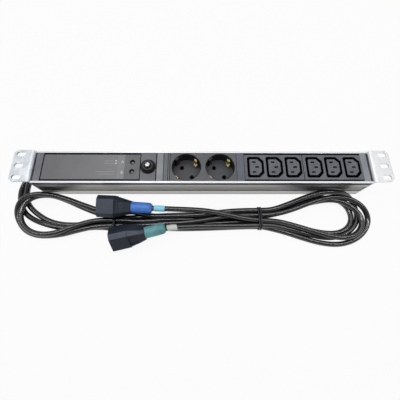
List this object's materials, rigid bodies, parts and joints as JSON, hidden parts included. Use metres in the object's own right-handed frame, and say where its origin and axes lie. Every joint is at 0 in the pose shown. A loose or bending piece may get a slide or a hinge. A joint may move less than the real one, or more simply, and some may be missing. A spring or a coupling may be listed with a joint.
{
  "type": "rack static transfer switch",
  "caption": "One-unit rack transfer switch: slim channel with ears, two indicator lamps, resettable breaker, round and appliance outlets, and two coiled supply cords with plugs.",
  "frame": {"origin": "middle of the channel's flat back face, on the surface that the unit lies on in the picture", "axes": "+X along the unit towards the appliance outlets, +Y towards the edge that is uppermost in a rack, +Z out of the front"},
  "size_m": [0.4939, 0.1259, 0.0502],
  "materials": {
    "anodised": "satin",
    "galvanised": "galvanised",
    "zinc": "zinc plated",
    "dark_plastic": "fine texture",
    "black_plastic": "moulded",
    "black_gloss": "gloss",
    "label_film": "satin film",
    "lamp_lens": "clear",
    "circuit_board": "coated",
    "terminal_plastic": "moulded",
    "brass": "bare",
    "nickel": "nickel plated",
    "black_rubber": "smooth",
    "blue_sleeve": "moulded",
    "green_sleeve": "moulded",
    "pale_marker": "smooth"
  },
  "bodies": {
    "switch": {"housing_profile": "anodised", "left_bracket": "galvanised", "right_bracket": "galvanised", "bracket_screws": "zinc", "left_end_filler": "dark_plastic", "right_end_filler": "dark_plastic", "plain_front": "dark_plastic", "indicator_front": "dark_plastic", "front_label": "label_film", "indicator_lamps": "lamp_lens", "lamp_board": "circuit_board", "breaker_front": "dark_plastic", "breaker_body": "black_plastic", "breaker_ring_nut": "black_plastic", "wide_filler_strip": "dark_plastic", "narrow_filler_strip": "dark_plastic", "thin_filler_strip": "dark_plastic", "round_socket_front": "dark_plastic", "round_earth_springs": "brass", "round_pin_contacts": "brass", "socket_filler": "dark_plastic", "outlet_front_left": "dark_plastic", "outlet_front_right": "dark_plastic", "outlet_contacts_left": "brass", "outlet_contacts_right": "brass", "live_busbar": "brass", "neutral_busbar": "brass", "earth_busbar": "brass", "busbar_holders": "black_plastic", "control_board": "circuit_board", "board_standoffs": "black_plastic", "transfer_relays": "black_plastic", "supply_module": "black_plastic", "input_terminal_block": "terminal_plastic", "output_terminal_block": "terminal_plastic", "cord_grommet_low": "black_rubber", "cord_grommet_high": "black_rubber", "cord_exit_low": "black_rubber", "cord_exit_high": "black_rubber", "cord_hank_left_loop": "black_rubber", "cord_hank_bundle": "black_rubber", "cord_hank_right_loop": "black_rubber", "cord_tail_a": "black_rubber", "cord_tail_b": "black_rubber", "plug_a_body": "black_plastic", "plug_b_body": "black_plastic", "plug_a_pins": "nickel", "plug_b_pins": "nickel", "plug_a_sleeve": "blue_sleeve", "plug_b_sleeve": "green_sleeve", "cord_marker_a": "pale_marker", "cord_marker_b": "pale_marker", "cord_tie_left": "black_plastic", "cord_tie_right": "black_plastic"},
    "reset_button": {"reset_button": "black_gloss"}
  },
  "joints": [
    {"name": "reset_button_slide", "type": "slide", "parent": "switch", "child": "reset_button", "axis": [0, 0, 1], "range_m": [0, 0.003]}
  ]
}
